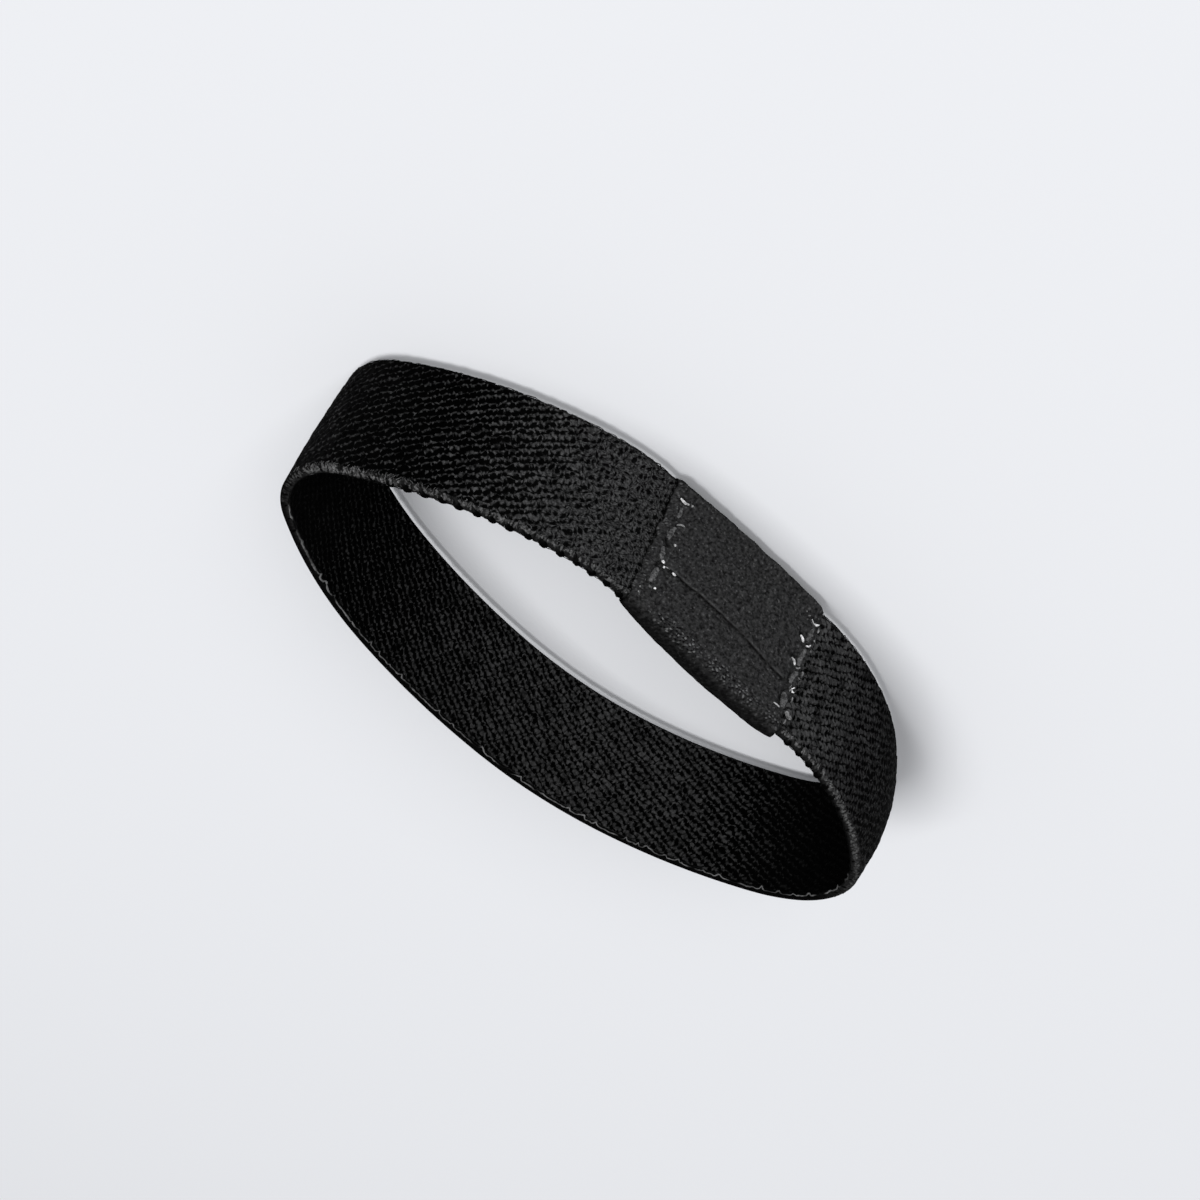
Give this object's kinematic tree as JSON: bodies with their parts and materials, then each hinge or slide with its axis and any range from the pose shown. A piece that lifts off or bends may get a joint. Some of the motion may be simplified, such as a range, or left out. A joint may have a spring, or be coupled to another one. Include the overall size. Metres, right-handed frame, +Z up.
{
  "type": "elastic wristband",
  "caption": "Elastic webbing wristband: a closed oval loop standing on its edge, with a plain woven label wound round the webbing over its joint.",
  "frame": {"origin": "under the middle of the whole, on the surface that the wristband stands on", "axes": "+X along the loop's long way, -Y towards the label, +Z up along the way that a wrist passes through"},
  "size_m": [0.0742, 0.0374, 0.0182],
  "materials": {
    "webbing": "matte black elastic webbing with dark grey floats",
    "label_cloth": "matte charcoal fine woven label"
  },
  "bodies": {
    "root": {"elastic_band": "webbing", "label_sleeve": "label_cloth"}
  },
  "joints": []
}
